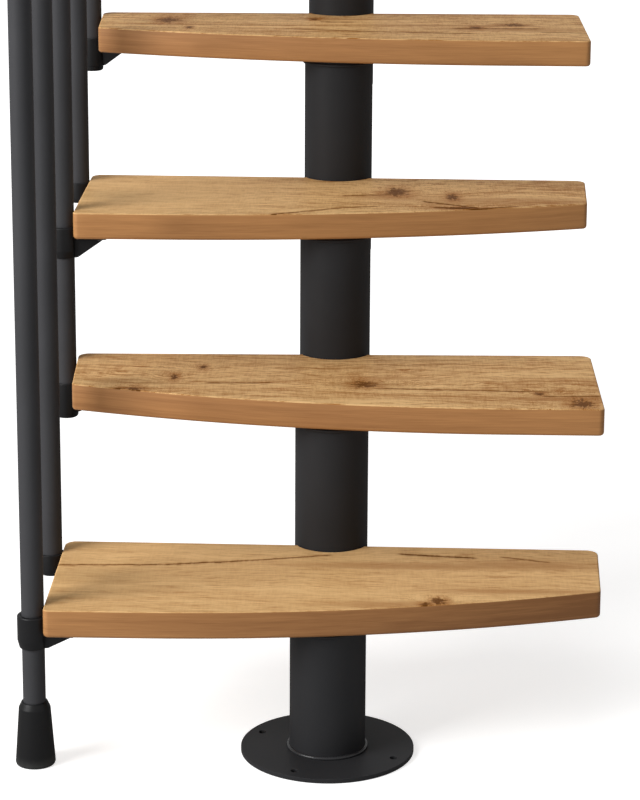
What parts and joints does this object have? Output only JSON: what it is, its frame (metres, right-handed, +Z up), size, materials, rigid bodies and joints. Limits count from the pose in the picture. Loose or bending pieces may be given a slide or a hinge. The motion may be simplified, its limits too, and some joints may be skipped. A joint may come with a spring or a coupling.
{
  "type": "modular staircase",
  "caption": "Straight space-saving staircase: alternating oak treads on a central spine of steel tubes, round floor flange, landing flange and a left balustrade with a handrail.",
  "frame": {"origin": "centre of the floor flange's underside, on the finished floor under the first spine tube", "axes": "+Z up, +Y the way up the stair, +X to the right of someone climbing"},
  "size_m": [0.7822, 1.5099, 2.5328],
  "materials": {
    "powder_coat": "fine-textured black powder coat, satin",
    "oak": "wild oak with cracks and knots, matt lacquer",
    "black_plastic": "moulded black plastic, satin",
    "rubber": "moulded black rubber, dull"
  },
  "bodies": {
    "root": {"base_plate": "powder_coat", "column_1": "powder_coat", "column_2": "powder_coat", "column_3": "powder_coat", "column_4": "powder_coat", "column_5": "powder_coat", "column_6": "powder_coat", "column_7": "powder_coat", "arm_1": "powder_coat", "arm_2": "powder_coat", "arm_3": "powder_coat", "arm_4": "powder_coat", "arm_5": "powder_coat", "arm_6": "powder_coat", "tread_1": "oak", "tread_2": "oak", "tread_3": "oak", "tread_4": "oak", "tread_5": "oak", "tread_6": "oak", "column_cap": "black_plastic", "landing_flange": "powder_coat", "front_clamp_1": "black_plastic", "front_clamp_3": "black_plastic", "front_clamp_5": "black_plastic", "rear_cup_1": "black_plastic", "rear_cup_3": "black_plastic", "rear_cup_5": "black_plastic", "lower_clamp_2": "black_plastic", "lower_clamp_4": "black_plastic", "lower_clamp_6": "black_plastic", "upright_1": "powder_coat", "upright_2": "powder_coat", "upright_3": "powder_coat", "upright_4": "powder_coat", "upright_5": "powder_coat", "upright_6": "powder_coat", "upright_7": "powder_coat", "foot": "rubber", "handrail": "powder_coat", "rail_cap_low": "black_plastic", "rail_cap_high": "black_plastic", "rail_holders": "black_plastic"}
  },
  "joints": []
}
